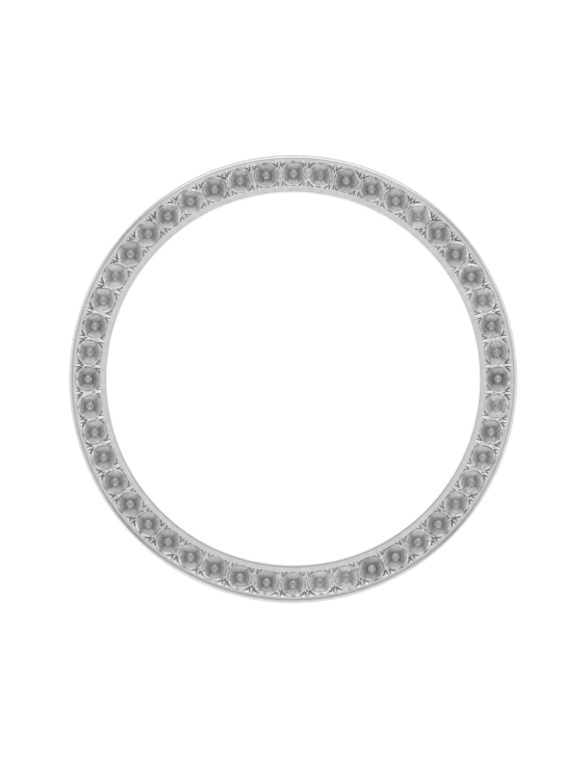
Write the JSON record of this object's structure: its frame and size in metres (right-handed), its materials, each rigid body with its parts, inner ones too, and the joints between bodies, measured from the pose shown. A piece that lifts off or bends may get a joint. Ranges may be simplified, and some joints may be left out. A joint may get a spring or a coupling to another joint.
{
  "type": "watch bezel",
  "caption": "Round gem-set watch bezel: a polished metal ring with one row of round brilliants, pressed over the glass gasket of a watch case.",
  "frame": {"origin": "on the ring's axis, in the plane of the back face that rests on the watch case", "axes": "+Z along the ring's axis, out of the watch towards the wearer; +Y towards twelve o'clock, where stone_01 is; +X towards three o'clock"},
  "size_m": [0.036, 0.036, 0.0026],
  "materials": {
    "white_metal": "polished",
    "clear_stone": "faceted and polished"
  },
  "bodies": {
    "root": {"bezel_ring": "white_metal", "stone_01": "clear_stone", "stone_02": "clear_stone", "stone_03": "clear_stone", "stone_04": "clear_stone", "stone_05": "clear_stone", "stone_06": "clear_stone", "stone_07": "clear_stone", "stone_08": "clear_stone", "stone_09": "clear_stone", "stone_10": "clear_stone", "stone_11": "clear_stone", "stone_12": "clear_stone", "stone_13": "clear_stone", "stone_14": "clear_stone", "stone_15": "clear_stone", "stone_16": "clear_stone", "stone_17": "clear_stone", "stone_18": "clear_stone", "stone_19": "clear_stone", "stone_20": "clear_stone", "stone_21": "clear_stone", "stone_22": "clear_stone", "stone_23": "clear_stone", "stone_24": "clear_stone", "stone_25": "clear_stone", "stone_26": "clear_stone", "stone_27": "clear_stone", "stone_28": "clear_stone", "stone_29": "clear_stone", "stone_30": "clear_stone", "stone_31": "clear_stone", "stone_32": "clear_stone", "stone_33": "clear_stone", "stone_34": "clear_stone", "stone_35": "clear_stone", "stone_36": "clear_stone", "stone_37": "clear_stone", "stone_38": "clear_stone", "stone_39": "clear_stone", "stone_40": "clear_stone", "stone_41": "clear_stone", "stone_42": "clear_stone", "stone_43": "clear_stone", "stone_44": "clear_stone", "stone_45": "clear_stone", "stone_46": "clear_stone", "stone_47": "clear_stone", "stone_48": "clear_stone"}
  },
  "joints": []
}
